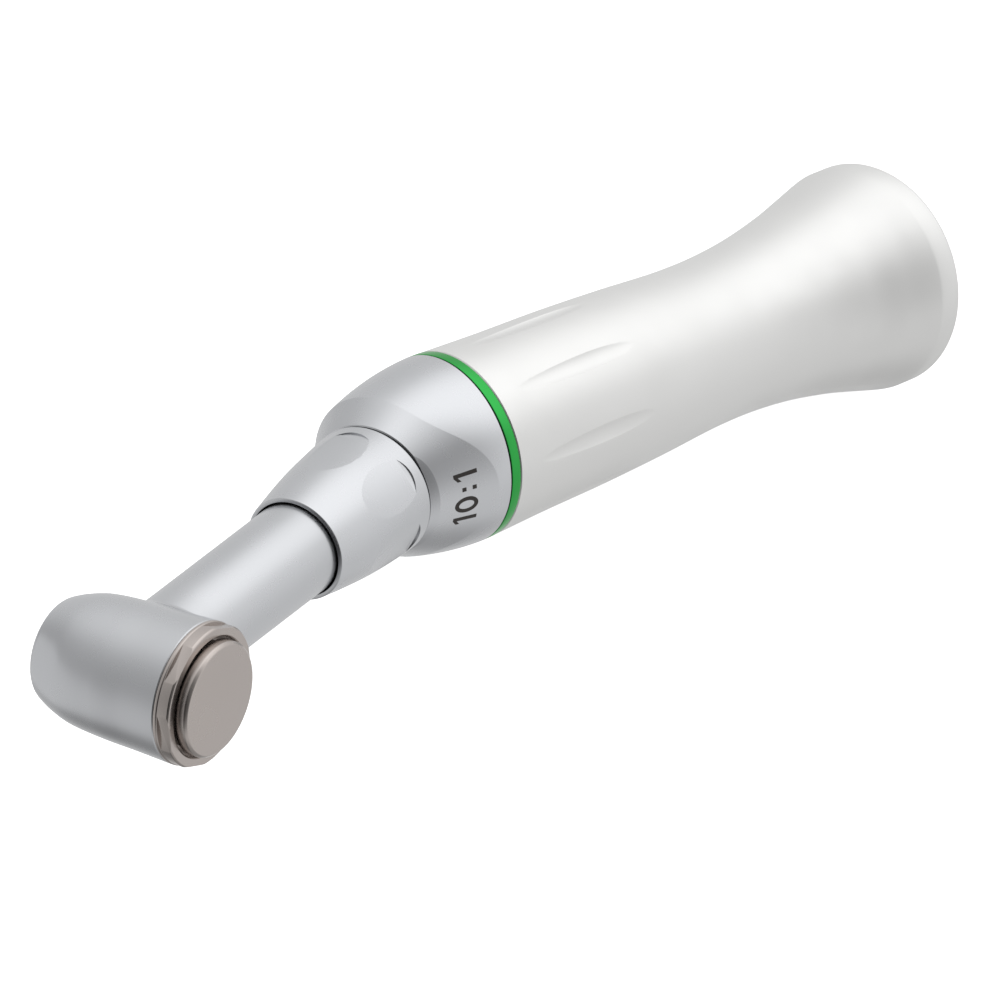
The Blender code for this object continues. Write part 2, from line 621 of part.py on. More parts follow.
def build_cap_and_button():
    """Screwed head cap with wrench flats, and the push button in it."""
    cap_outline = [(4.91, CAP_FROM), (4.91, CAP_FROM + 0.2), (4.86, CAP_FROM + 0.25),
                   (4.86, CAP_END - 0.12), (4.74, CAP_END), (4.2, CAP_END), (4.12, CAP_END - 0.08),
                   (4.12, 4.98), (3.6, 4.98), (3.6, 4.28), (1.6, 4.28), (1.6, 4.06), (BORE_R, 4.06),
                   (BORE_R, 3.52), (4.1, 3.52), (4.1, CAP_FROM)]
    cap = turned("head_cap", HEAD, cap_outline, NICKEL, sides=36)
    for i in range(CAP_FLAT_COUNT):
        turn = CAP_FLAT_TURN_DEG + i * 360.0 / CAP_FLAT_COUNT
        cut(cap, block("cap_flat_cutter_%d" % (i + 1), HEAD, (2.0, 6.0, 2.0),
                       (CAP_FLAT_AT + 1.0, 0.0, CAP_FROM + 0.28 + 1.0), turn))
    button = [(0.0, BUTTON_FACE), (BUTTON_R - 0.14, BUTTON_FACE), (BUTTON_R, BUTTON_FACE - 0.14),
              (BUTTON_R, 5.92), (3.45, 5.92), (3.45, 5.22), (3.0, 5.22), (3.0, 6.1), (1.1, 6.1),
              (1.1, 5.22), (0.0, 5.22)]
    turned("push_button", HEAD, button, NICKEL, sides=32)
    coil("button_spring", HEAD, 2.2, 0.18, 4.34, 6.04, 2, SPRING_STEEL)


clear_scene()
PARTS = new_collection("contra_angle_handpiece")
CUTTERS = new_collection("cutters")
SATIN = new_material("satin_silver", (0.78, 0.78, 0.76), 0.38, 0.85)
SATIN_BLUE = new_material("satin_blue_silver", (0.62, 0.65, 0.69), 0.36, 0.9)
GREEN = new_material("green_anodised", (0.05, 0.42, 0.09), 0.3, 0.7)
NICKEL = new_material("matt_nickel", (0.55, 0.50, 0.47), 0.42, 0.95)
STEEL = new_material("stainless_steel", (0.55, 0.56, 0.57), 0.3, 1.0)
SPRING_STEEL = new_material("spring_steel", (0.35, 0.36, 0.38), 0.35, 1.0)
BRONZE = new_material("sintered_bronze", (0.55, 0.36, 0.18), 0.45, 0.9)
RUBBER = new_material("seal_rubber", (0.03, 0.03, 0.035), 0.7, 0.0)
SHANK = new_frame("shank_axis", Vector((0.0, 0.0, 0.0)), Vector((1.0, 0.0, 0.0)))
NECK = new_frame("neck_axis", BEND_POINT, NECK_DIR)
HEAD = new_frame("head_axis", HEAD_POINT, HEAD_DIR)
bpy.context.view_layer.update()

build_sheath()
build_ratio_ring()
build_nose()
build_coupling()
build_ring_gear()
build_planets()
build_input_shaft()
build_carrier_1()
build_output_shaft()
bearing("input_bearing", SHANK, 1.6, 4.55, shank(13.8), shank(16.3), 7)
bearing("output_bearing", SHANK, 1.82, 4.42, shank(-1.5), shank(1.5), 7)
build_drive_dog()
build_collar()
build_head_housing()
build_neck_shaft()
bearing("lower_bearing", HEAD, SPINDLE_R + 0.06, 3.34, -5.2, -3.4, 7)
bearing("upper_bearing", HEAD, SPINDLE_R + 0.06, 3.34, 2.95, 3.98, 7)
build_spindle()
build_cap_and_button()
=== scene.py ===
"""Contra angle handpiece: the looks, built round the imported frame.

Everything is in the frame's own axes: +X along the shank towards the motor, +Z up,
and the origin at the centre of the drive dog's rear face.  Sizes are in millimetres
and are turned to metres where a mesh is made.  Places along the shank are stations,
counted from the front edge of the colour ring.  Places along the neck are counted
from the bend, and places across the head from the neck's axis to the push button.
"""
import json
import math

import bmesh
import bpy
from mathutils import Matrix, Vector

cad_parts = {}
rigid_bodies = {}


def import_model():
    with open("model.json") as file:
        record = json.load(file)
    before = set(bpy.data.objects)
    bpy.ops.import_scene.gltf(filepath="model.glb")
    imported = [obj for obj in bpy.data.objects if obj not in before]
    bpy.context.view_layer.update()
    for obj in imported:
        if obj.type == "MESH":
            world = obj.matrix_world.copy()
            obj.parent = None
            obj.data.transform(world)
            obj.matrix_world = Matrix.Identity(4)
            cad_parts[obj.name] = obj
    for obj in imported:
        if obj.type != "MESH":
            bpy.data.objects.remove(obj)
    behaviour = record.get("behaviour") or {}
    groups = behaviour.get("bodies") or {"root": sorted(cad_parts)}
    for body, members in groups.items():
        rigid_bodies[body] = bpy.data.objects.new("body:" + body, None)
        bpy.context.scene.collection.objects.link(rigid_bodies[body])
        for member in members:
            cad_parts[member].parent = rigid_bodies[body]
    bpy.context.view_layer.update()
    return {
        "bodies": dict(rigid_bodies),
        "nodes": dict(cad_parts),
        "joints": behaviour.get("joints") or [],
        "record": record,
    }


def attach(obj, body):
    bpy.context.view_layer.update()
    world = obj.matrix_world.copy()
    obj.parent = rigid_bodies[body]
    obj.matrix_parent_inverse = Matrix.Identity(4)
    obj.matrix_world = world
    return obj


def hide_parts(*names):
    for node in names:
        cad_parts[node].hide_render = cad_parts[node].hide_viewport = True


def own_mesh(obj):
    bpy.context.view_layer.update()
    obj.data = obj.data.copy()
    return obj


MM = 0.001
UP = Vector((0.0, 0.0, 1.0))

# The two axes and the head
BEND = math.radians(17.0)
BEND_STATION = -4.22
DOG_FACE = 22.2                       # station of the origin
HEAD_AT = 34.62                       # head axis, from the bend along the neck
NECK_DIR = Vector((-math.cos(BEND), -math.sin(BEND), 0.0))
HEAD_DIR = Vector((math.sin(BEND), -math.cos(BEND), 0.0))
BEND_POINT = Vector((BEND_STATION - DOG_FACE, 0.0, 0.0)) * MM
HEAD_POINT = BEND_POINT + NECK_DIR * HEAD_AT * MM

# Shank
RING_R = 7.57
RING_WIDTH = 0.91
GAP = 0.05
SHANK_END = 51.2
RIM_R = 0.55                          # rounding of the sheath's rear rim
FLARE_R = 10.0
WALL = 1.05
RING_SEAT_R = 6.4
# Station and radius
SHEATH_OUTLINE = ((-6.7, 7.6), (0.0, 7.57), (6.7, 7.43), (13.4, 7.38), (20.1, 7.19), (26.9, 6.885),
                  (31.9, 6.95), (36.9, 7.41), (42.0, 8.29), (45.3, 9.07), (48.7, 9.92), (52.0, 10.6))
SHEATH_TURNED_TO = 48.9               # where the outline gives way to the rim's rounding
SHEATH_LIP = 48.6                     # front end of the wide part of the bore
# Radius and station
SHEATH_BORE = ((7.9, 44.5), (6.1, 34.0), (5.85, 27.0), (6.28, 14.0), (6.28, 3.5), (6.4, 3.4))
FLUTE_COUNT = 8
FLUTE_TURN_DEG = 39.0
FLUTE_RADII = (1.12, 1.45, 11.6)      # ellipsoid that carves one: across, round and along the shank
FLUTE_AT_R = 8.34
FLUTE_STATION = 11.0

# Nose and collar
NOSE_FRONT = 4.62
NOSE_FRONT_R = 5.24
SHOULDER_SLOPE = 0.53
NOSE_SLOPE = 0.04                     # the casing's outline, as it narrows from the ring
NOSE_CURVE = 0.02
REAR_SPIGOT = (6.25, -2.0, 3.0)       # each of these: radius, from, to
SHAFT_SEAT = (4.5, -1.6, 4.0)
SHAFT_BORE = (3.3, -5.2, 0.0)
FRONT_SPIGOT = (4.2, 2.0, 9.2)
NECK_SHAFT_BORE = (3.32, -1.2, 10.0)
COLLAR_END = 15.12
COLLAR_END_R = 3.98
COLLAR_SWELL = 0.22
COLLAR_BORE_R = 3.69
COLLAR_SEAT_R = 4.4
COLLAR_SEAT_TO = 11.4
SCALLOP_COUNT = 6
SCALLOP_TURN_DEG = 7.0
SCALLOP_R = 2.5
SCALLOP_FROM = 5.76
SCALLOP_TO = 13.2
SCALLOP_LOW = 4.57                    # lowest line of a floor, from the neck's axis
SCALLOP_LOW_AT = 9.78
SCALLOP_SWEEP_R = 16.5                # the floor's lengthwise hollow
SCALLOP_TOP = 7.0
COLLAR_GAP = 0.19                     # shadow line between the nose and the collar

# Head
# Place across the head, and radius
BARREL_OUTLINE = ((6.0, 4.93), (4.88, 4.91), (2.255, 4.826), (-0.386, 4.777), (-3.03, 4.579),
                  (-4.5, 4.2), (-5.667, 3.71), (-6.6, 3.2))
BARREL_END = 4.84                     # radius of the barrel's flat end, under the cap
THREAD_R = 4.2
THREAD_FROM = 3.45
BEARING_SEAT_R = 3.42
BEARING_SEAT_FROM = -5.3
BUR_HOLE_R = 2.05
BUR_END = -6.0
CAP_FROM = 4.93
CAP_END = 6.06
CAP_R = 4.86
CAP_FLAT_COUNT = 6
CAP_FLAT_TURN_DEG = 36.0
CAP_FLAT_AT = 4.66
CAP_FLANGE = 0.28                     # what the wrench flats leave of the cap's foot
BUTTON_FACE = 6.85
BUTTON_R = 3.95
BUTTON_STEM_R = 3.45
BUTTON_FOOT = 5.22

# Neck
NECK_BORE_R = 2.85
NECK_R = 3.56                         # at the collar's front end
NECK_END_R = 3.38
NECK_THINS = 0.18                     # over the length below
NECK_TAPER_LENGTH = 14.5
# Radius, and place along the neck
NECK_REAR = ((2.85, 5.2), (3.2, 5.2), (3.2, 9.8), (4.2, 9.8), (4.2, 10.95), (3.6, 10.95))
NECK_FILLET = 0.55
NECK_SINKS = -0.7                     # the tube's hidden end lies this far inside the barrel

# Marking
DIGIT_HEIGHT = 2.0
DIGIT_WIDTH = 0.34
DIGIT_FOOT = -3.1                     # station of the numerals' foot
ONES_AT = (-1.95, 2.1)
ZERO_AT = -0.62
ZERO_R = 0.72
INK_LIFT = 0.015
INK_DEPTH = 0.04

SIDES = 240                           # round a large turned surface
STEPS_PER_TURN = 48                   # along a spring's wire
WIRE_SIDES = 14                       # round it
SHARP_DEG = 24.0                      # edges sharper than this stay crisp
CREASE_DEG = 2.2                      # the same, for the shallow crease on the nose

# Camera: its place and its three axes were fitted to the object's outline in the photograph
CAMERA_AT = (-0.15322, -0.13918, 0.09706)
CAMERA_RIGHT = (0.719024, -0.694729, 0.018888)
CAMERA_DOWN = (-0.313562, -0.348542, -0.883288)
CAMERA_FORWARD = (0.620229, 0.629182, -0.468450)
CAMERA_LENS = 100.8
SENSOR = 36.0

# Floor and light
FLOOR_Z = -0.0102
FLOOR_HALF = 3.0
PAPER_WHITE = 0.92
PAPER_GLOW = 0.75
TENT_LIGHT = 0.736
LEAST_LIGHT = 0.05
# Soft patches of light and shade, fitted to the object's shading in the photograph: direction,
# inner and outer angle in degrees, and what each adds
LIGHT_PATCHES = (
    ((0.405, -0.195, 0.893), 2.0, 51.6, 0.43),       # overhead
    ((0.125, -0.542, 0.831), 31.1, 101.1, 0.29),     # wide, overhead and towards the camera
    ((-0.501, -0.807, 0.312), 3.7, 71.1, -0.87),     # dark round the camera
    ((-0.884, 0.386, -0.262), 48.4, 88.0, -0.25),    # darker beyond the head
    ((-0.604, 0.746, -0.279), 28.7, 37.6, 0.26),     # light low on that side
    ((0.332, -0.628, -0.704), 7.1, 48.4, 0.05),      # faint light from below, in front
    ((0.0, 0.0, -1.0), 15.0, 43.0, -0.36))           # dark straight below


# ---------------------------------------------------------------- mesh helpers
def frame_matrix(origin, axis):
    """A frame whose Z is the given axis and whose X is up."""
    turn = Matrix((UP, axis.cross(UP), axis)).transposed().to_4x4()
    return Matrix.Translation(origin) @ turn


def shank(station):
    """A station's height in the shank's frame."""
    return station - DOG_FACE


def link_mesh(name, mesh):
    """Puts a mesh in the scene, smooth but for its sharp edges."""
    mesh.shade_smooth()
    mesh.set_sharp_from_angle(angle=math.radians(SHARP_DEG))
    item = bpy.data.objects.new(name, mesh)
    bpy.context.scene.collection.objects.link(item)
    return item


def solid(name, verts, faces, frame):
    """A closed mesh, from points in millimetres in a frame."""
    mesh = bpy.data.meshes.new(name)
    mesh.from_pydata([frame @ (Vector(v) * MM) for v in verts], [], faces)
    shell = bmesh.new()
    shell.from_mesh(mesh)
    bmesh.ops.recalc_face_normals(shell, faces=shell.faces)
    shell.to_mesh(mesh)
    shell.free()
    return link_mesh(name, mesh)


def curve_through(points, x):
    """The smooth curve through (x, y) points, at x."""
    for i in range(len(points) - 1):
        if x <= points[i + 1][0] or i == len(points) - 2:
            break
    x0, y0 = points[i]
    x1, y1 = points[i + 1]

    def slope(k):
        low, high = max(k - 1, 0), min(k + 1, len(points) - 1)
        return (points[high][1] - points[low][1]) / (points[high][0] - points[low][0])

    width = x1 - x0
    t = (x - x0) / width
    value = (2 * t ** 3 - 3 * t ** 2 + 1) * y0 + (t ** 3 - 2 * t ** 2 + t) * width * slope(i)
    return value + (3 * t ** 2 - 2 * t ** 3) * y1 + (t ** 3 - t ** 2) * width * slope(i + 1)


def soften(outline, steps=4):
    """Rounds each (radius, height, rounding) corner of an outline; a pair stays sharp."""
    points = []
    count = len(outline)
    for i, corner in enumerate(outline):
        at = Vector(corner[:2])
        if len(corner) == 2:
            points.append(tuple(at))
            continue
        before = Vector(outline[i - 1][:2]) - at
        after = Vector(outline[(i + 1) % count][:2]) - at
        reach = min(corner[2], before.length * 0.45, after.length * 0.45)
        start = at + before.normalized() * reach
        end = at + after.normalized() * reach
        for k in range(steps + 1):
            t = k / steps
            points.append(tuple(start * (1 - t) ** 2 + at * 2 * t * (1 - t) + end * t * t))
    return points


def revolve(name, frame, outline, sides=SIDES):
    """A turned solid from (radius, height) points, closed through the axis or round a bore."""
    verts, rings = [], []
    for radius, z in outline:
        first = len(verts)
        if radius < 1e-6:
            verts.append((0.0, 0.0, z))
            rings.append([first] * sides)
            continue
        for k in range(sides):
            angle = 2 * math.pi * k / sides
            verts.append((radius * math.cos(angle), radius * math.sin(angle), z))
        rings.append(list(range(first, first + sides)))
    pairs = list(zip(rings, rings[1:]))
    if outline[0][0] > 0.0:
        pairs.append((rings[-1], rings[0]))
    faces = []
    for low, high in pairs:
        for k in range(sides):
            j = (k + 1) % sides
            corners = (low[k], low[j], high[j], high[k])
            face = [c for n, c in enumerate(corners) if c not in corners[:n]]
            if len(face) > 2:
                faces.append(face)
    return solid(name, verts, faces, frame)


def block(name, frame, size, place, turn_deg):
    """A box in a frame, turned about the frame's Z after it is placed."""
    half = Vector(size) / 2
    turn = Matrix.Rotation(math.radians(turn_deg), 3, "Z")
    signs = [(i, j, k) for i in (-1, 1) for j in (-1, 1) for k in (-1, 1)]
    verts = [turn @ (Vector(place) + Vector((i * half.x, j * half.y, k * half.z))) for i, j, k in signs]
    faces = [(0, 1, 3, 2), (4, 5, 7, 6), (0, 1, 5, 4), (2, 3, 7, 6), (0, 2, 6, 4), (1, 3, 7, 5)]
    return solid(name, verts, faces, frame)


def ellipsoid(name, frame, radii, place, turn_deg, sides=96):
    """An ellipsoid in a frame, turned about the frame's Z after it is placed."""
    turn = Matrix.Rotation(math.radians(turn_deg), 3, "Z")
    rows = sides // 2
    rings, verts, faces = [], [], []
    for i in range(rows + 1):
        polar = math.pi * i / rows
        ring = []
        for k in range(sides if 0 < i < rows else 1):
            round_ = 2 * math.pi * k / sides
            unit = (math.sin(polar) * math.cos(round_), math.sin(polar) * math.sin(round_), math.cos(polar))
            local = Vector([place[n] + radii[n] * unit[n] for n in range(3)])
            ring.append(len(verts))
            verts.append(turn @ local)
        rings.append(ring if len(ring) > 1 else ring * sides)
    for low, high in zip(rings, rings[1:]):
        for k in range(sides):
            j = (k + 1) % sides
            corners = (low[k], low[j], high[j], high[k])
            faces.append([c for n, c in enumerate(corners) if c not in corners[:n]])
    return solid(name, verts, faces, frame)


def loft(name, frame, rings):
    """Joins equal rings of points, in order, into one closed skin."""
    count = len(rings[0])
    verts = [point for ring in rings for point in ring]
    last = len(verts) - count
    faces = [list(range(count)), list(range(last, last + count))]
    for level in range(len(rings) - 1):
        low, high = level * count, (level + 1) * count
        for k in range(count):
            j = (k + 1) % count
            faces.append((low + k, low + j, high + j, high + k))
    return solid(name, verts, faces, frame)


def scallop_tool(name, frame, turn_deg, round_steps=20, straight_steps=16):
    """What is milled away for one thumb scallop: round at the rear, with a gently hollow floor."""
    turn = Matrix.Rotation(math.radians(turn_deg), 3, "Z")
    rows = []
    for angle in steps_between(0.04, math.pi / 2, round_steps):
        rows.append((SCALLOP_FROM + SCALLOP_R * (1 - math.cos(angle)), SCALLOP_R * math.sin(angle)))
    rows += [(z, SCALLOP_R) for z in steps_between(rows[-1][0], SCALLOP_TO, straight_steps)[1:]]
    rings = []
    for z, half in rows:
        floor = SCALLOP_LOW + (z - SCALLOP_LOW_AT) ** 2 / (2 * SCALLOP_SWEEP_R)
        corners = ((floor, -half), (floor, half), (SCALLOP_TOP, half), (SCALLOP_TOP, -half))
        rings.append([turn @ Vector((x, y, z)) for x, y in corners])
    return loft(name, frame, rings)


def boolean(target, operation, *tools, sharp_deg=SHARP_DEG):
    """Applies exact Booleans to the target and removes the tools."""
    for tool in tools:
        step = target.modifiers.new(tool.name, "BOOLEAN")
        step.operation = operation
        step.solver = "EXACT"
        step.object = tool
    view = bpy.context.evaluated_depsgraph_get()
    mesh = bpy.data.meshes.new_from_object(target.evaluated_get(view))
    target.modifiers.clear()
    target.data = mesh
    mesh.shade_smooth()
    mesh.set_sharp_from_angle(angle=math.radians(sharp_deg))
    for tool in tools:
        bpy.data.objects.remove(tool)
    return target


def steps_between(low, high, count):
    """Evenly spaced values, one more than the count, from low to high."""
    return [low + (high - low) * i / count for i in range(count + 1)]


def rod(name, frame, radius, z_from, z_to, sides=96):
    """A round rod on a frame's Z."""
    return revolve(name, frame, [(0.0, z_from), (radius, z_from), (radius, z_to), (0.0, z_to)], sides)


def shank_rod(name, radius, start, end):
    """A rod on the shank's axis, from station to station."""
    return rod(name, SHANK, radius, shank(start), shank(end))


# ---------------------------------------------------------------- materials
def metal(name, colour, roughness, metallic=1.0, grain=0.06, grain_scale=9000.0, spread=0.05, shade=0.04):
    """Bead-blasted or satin metal: fine grain, and faint clouds in its gloss and colour."""
    made = bpy.data.materials.new(name)
    made.use_nodes = True
    nodes, links = made.node_tree.nodes, made.node_tree.links
    shader = nodes["Principled BSDF"]
    shader.inputs["Metallic"].default_value = metallic
    shader.inputs["IOR"].default_value = 1.5
    place = nodes.new("ShaderNodeTexCoord")

    fine = nodes.new("ShaderNodeTexNoise")
    fine.inputs["Scale"].default_value = grain_scale
    fine.inputs["Detail"].default_value = 2.0
    links.new(place.outputs["Object"], fine.inputs["Vector"])
    bump = nodes.new("ShaderNodeBump")
    bump.inputs["Strength"].default_value = grain
    bump.inputs["Distance"].default_value = 0.00002
    links.new(fine.outputs["Fac"], bump.inputs["Height"])
    links.new(bump.outputs["Normal"], shader.inputs["Normal"])

    clouds = nodes.new("ShaderNodeTexNoise")
    clouds.inputs["Scale"].default_value = 260.0
    clouds.inputs["Detail"].default_value = 4.0
    clouds.inputs["Roughness"].default_value = 0.6
    links.new(place.outputs["Object"], clouds.inputs["Vector"])
    gloss = nodes.new("ShaderNodeMapRange")
    gloss.inputs["From Min"].default_value = 0.3
    gloss.inputs["From Max"].default_value = 0.7
    gloss.inputs["To Min"].default_value = roughness - spread
    gloss.inputs["To Max"].default_value = roughness + spread
    links.new(clouds.outputs["Fac"], gloss.inputs["Value"])
    links.new(gloss.outputs["Result"], shader.inputs["Roughness"])

    tint = nodes.new("ShaderNodeMix")
    tint.data_type = "RGBA"
    tint.inputs[6].default_value = (*[c * (1 - shade) for c in colour], 1.0)
    tint.inputs[7].default_value = (*[min(1.0, c * (1 + shade)) for c in colour], 1.0)
    links.new(clouds.outputs["Fac"], tint.inputs[0])
    links.new(tint.outputs[2], shader.inputs["Base Color"])
    return made


def finish_piece(item, material, body, slot, *stands_for):
    """Gives a piece its material and its body, and hides the CAD nodes that it stands for; the slot is not
    used.
    """
    item.data.materials.clear()
    item.data.materials.append(material)
    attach(item, body)
    if stands_for:
        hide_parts(*stands_for)
    return item


# ---------------------------------------------------------------- shank pieces
def sheath_radius(station):
    return curve_through(SHEATH_OUTLINE, station)


def build_sheath():
    """Flared sleeve with eight narrow, leaf-shaped grip flutes."""
    front = RING_WIDTH + GAP
    outer = [(sheath_radius(s), shank(s)) for s in steps_between(front + 0.08, SHEATH_TURNED_TO, 170)]
    outline = [(RING_R - 0.1, shank(front))] + outer
    rim_z = shank(SHANK_END) - RIM_R
    for i in range(9):
        angle = math.pi / 2 * i / 8
        outline.append((FLARE_R - RIM_R + RIM_R * math.cos(angle), rim_z + RIM_R * math.sin(angle)))
    mouth_r = FLARE_R - WALL
    bore = [(mouth_r, shank(SHANK_END), 0.12), (mouth_r, shank(SHEATH_LIP))]
    bore += [(radius, shank(station)) for radius, station in SHEATH_BORE]
    bore.append((RING_SEAT_R, shank(front)))
    sheath = revolve("sheath_shell", SHANK, outline + soften(bore))
    flutes = []
    for i in range(FLUTE_COUNT):
        turn = FLUTE_TURN_DEG + i * 360.0 / FLUTE_COUNT
        place = (FLUTE_AT_R, 0.0, shank(FLUTE_STATION))
        flutes.append(ellipsoid("flute_tool_%d" % (i + 1), SHANK, FLUTE_RADII, place, turn))
    boolean(sheath, "DIFFERENCE", *flutes)
    return finish_piece(sheath, SATIN, "shank", "satin_silver", "body_sheath")


def build_ring():
    """Anodised colour ring, with a fine chamfer at each edge."""
    rear, front = shank(RING_WIDTH - 0.03), shank(0.03)
    outline = soften([(RING_R, rear, 0.05), (RING_R, front, 0.05),
                      (RING_SEAT_R, front), (RING_SEAT_R, rear)])
    ring = revolve("colour_ring", SHANK, outline)
    return finish_piece(ring, GREEN, "shank", "green_anodised", "ratio_ring")


def nose_radius(station):
    return RING_R + NOSE_SLOPE * station - NOSE_CURVE * station * station


def shoulder_radius(place):
    return NOSE_FRONT_R + SHOULDER_SLOPE * (NOSE_FRONT - place)


def casing_point(station, round_angle, lift):
    """A point of the nose's outside, at a station and an angle from the -Y side, lifted a little."""
    centre = Vector((shank(station), 0.0, 0.0))
    outward = Vector((0.0, -math.cos(round_angle), math.sin(round_angle)))
    radius = nose_radius(station)
    for _ in range(12):
        offset = centre + outward * radius - BEND_POINT / MM
        place = offset.dot(NECK_DIR)
        excess = (offset - NECK_DIR * place).length - shoulder_radius(place)
        radius -= 0.8 * max(0.0, excess)
    return centre + outward * (radius + lift)


def build_nose():
    """Casing in front of the ring, where the shank's cone and the neck's cone cross."""
    stations = steps_between(-GAP - 0.07, -10.6, 60)
    outline = [(0.0, shank(-GAP)), (nose_radius(-GAP) - 0.08, shank(-GAP))]
    outline += [(nose_radius(s), shank(s)) for s in stations] + [(0.0, shank(stations[-1]))]
    nose = revolve("nose_shell", SHANK, outline)
    places = steps_between(NOSE_FRONT - 0.06, NOSE_FRONT - 14.0, 70)
    shoulder = [(0.0, NOSE_FRONT), (NOSE_FRONT_R - 0.06, NOSE_FRONT)]
    shoulder += [(shoulder_radius(p), p) for p in places] + [(0.0, places[-1])]
    boolean(nose, "INTERSECT", revolve("shoulder_tool", NECK, shoulder))
    boolean(nose, "UNION", shank_rod("rear_spigot_tool", *REAR_SPIGOT),
            rod("front_spigot_tool", NECK, *FRONT_SPIGOT))
    # Known fault: the neck bore tool's rear end stays as a stray, zero-thickness disc where the bores meet.
    boolean(nose, "DIFFERENCE", shank_rod("seat_tool", *SHAFT_SEAT),
            shank_rod("shank_bore_tool", *SHAFT_BORE),
            rod("neck_bore_tool", NECK, *NECK_SHAFT_BORE), sharp_deg=CREASE_DEG)
    return finish_piece(nose, BLUE_SATIN, "shank", "satin_blue_silver", "nose_casing")


# ---------------------------------------------------------------- collar and head pieces
def build_collar():
    """Union nut: a slightly swelling cone with thumb scallops round its rear half."""
    start = NOSE_FRONT + COLLAR_GAP
    outer = []
    for part in steps_between(0.0, 1.0, 60):
        cone_r = NOSE_FRONT_R + (COLLAR_END_R - NOSE_FRONT_R) * part
        radius = cone_r + COLLAR_SWELL * math.sin(math.pi * part)
        outer.append((radius, start + (COLLAR_END - start) * part))
    outer[0] = (outer[0][0], start, 0.2)
    outer[-1] = (outer[-1][0], COLLAR_END, 0.1)
    inner = [(COLLAR_BORE_R, COLLAR_END, 0.04), (COLLAR_BORE_R, COLLAR_SEAT_TO),
             (COLLAR_SEAT_R, COLLAR_SEAT_TO), (COLLAR_SEAT_R, start, 0.06)]
    nut = revolve("collar_shell", NECK, soften(outer + inner))
    tools = []
    for i in range(SCALLOP_COUNT):
        turn = SCALLOP_TURN_DEG + i * 360.0 / SCALLOP_COUNT
        tools.append(scallop_tool("scallop_tool_%d" % (i + 1), NECK, turn))
    boolean(nut, "DIFFERENCE", *tools)
    return finish_piece(nut, BLUE_SATIN, "collar", "satin_blue_silver", "collar_nut")


def barrel_radius(z):
    return curve_through(tuple(reversed(BARREL_OUTLINE)), z)


def build_barrel():
    """Head barrel, bored for the bearings, with its rounded bur side."""
    top = CAP_FROM - GAP
    outline = [(THREAD_R, top), (BARREL_END, top)]
    outline += [(barrel_radius(z), z) for z in steps_between(top - 0.07, -5.55, 60)]
    outline += soften([
        (3.71, -5.667, 0.1), (3.5, -5.9, 0.12), (3.2, BUR_END, 0.1), (BUR_HOLE_R, BUR_END, 0.06),
        (BUR_HOLE_R, BEARING_SEAT_FROM), (BEARING_SEAT_R, BEARING_SEAT_FROM),
        (BEARING_SEAT_R, THREAD_FROM), (THREAD_R, THREAD_FROM)])
    barrel = revolve("head_barrel", HEAD, outline)
    neck_way = rod("neck_way_tool", NECK, NECK_BORE_R, HEAD_AT - 6.0, HEAD_AT - 2.0)
    boolean(barrel, "DIFFERENCE", neck_way)
    return finish_piece(barrel, BLUE_SATIN, "head_unit", "satin_blue_silver", "head_housing")


def build_neck():
    """Neck tube, with a small fillet where it meets the barrel."""
    fillet_steps, sides = 8, 160
    angles = circle_angles(sides)
    outline = list(NECK_REAR)
    for place in steps_between(11.3, 28.4, 40):
        outline.append((NECK_R - NECK_THINS * (place - COLLAR_END) / NECK_TAPER_LENGTH, place))
    rings = [[(r * math.cos(a), r * math.sin(a), t) for a in angles] for r, t in outline]
    for i in range(fillet_steps + 1):
        turn = math.pi / 2 * i / fillet_steps
        radius = NECK_END_R + NECK_FILLET * (1 - math.cos(turn))
        back = NECK_FILLET * (1 - math.sin(turn)) - 0.012
        rings.append([junction_point(radius, back, a) for a in angles])
    for radius in (3.3, NECK_BORE_R):
        rings.append([junction_point(radius, NECK_SINKS, a) for a in angles])
    verts = [point for ring in rings for point in ring]
    faces = []
    for level in range(len(rings)):
        low, high = level * sides, (level + 1) % len(rings) * sides
        for k in range(sides):
            j = (k + 1) % sides
            faces.append((low + k, low + j, high + j, high + k))
    neck = solid("neck_tube", verts, faces, NECK)
    return finish_piece(neck, BLUE_SATIN, "head_unit", "satin_blue_silver")


def circle_angles(sides):
    return [2 * math.pi * k / sides for k in range(sides)]


def junction_point(radius, back, angle):
    """The point of the neck at this radius that lies this far behind the barrel's surface."""
    up, side = radius * math.cos(angle), radius * math.sin(angle)
    barrel = barrel_radius(-side)
    return (up, side, HEAD_AT - math.sqrt(barrel * barrel - up * up) - back)


def build_cap():
    """Screwed cap: a thin flange, six wrench flats and a chamfered front."""
    outline = soften([
        (4.91, CAP_FROM, 0.05), (4.91, CAP_FROM + 0.2, 0.05), (CAP_R, CAP_FROM + 0.25),
        (CAP_R, CAP_END - 0.12, 0.05), (CAP_R - 0.12, CAP_END, 0.05), (4.2, CAP_END, 0.05),
        (4.12, CAP_END - 0.08), (4.12, 4.98), (3.6, 4.98), (3.6, 4.28), (1.6, 4.28), (1.6, 4.06),
        (BEARING_SEAT_R, 4.06), (BEARING_SEAT_R, 3.52), (4.1, 3.52), (4.1, CAP_FROM)])
    cap = revolve("cap_ring", HEAD, outline)
    tools = []
    for i in range(CAP_FLAT_COUNT):
        turn = CAP_FLAT_TURN_DEG + i * 360.0 / CAP_FLAT_COUNT
        place = (CAP_FLAT_AT + 1.0, 0.0, CAP_FROM + CAP_FLANGE + 1.0)
        tools.append(block("flat_tool_%d" % (i + 1), HEAD, (2.0, 6.0, 2.0), place, turn))
    boolean(cap, "DIFFERENCE", *tools)
    return finish_piece(cap, NICKEL, "head_unit", "matt_nickel", "head_cap")


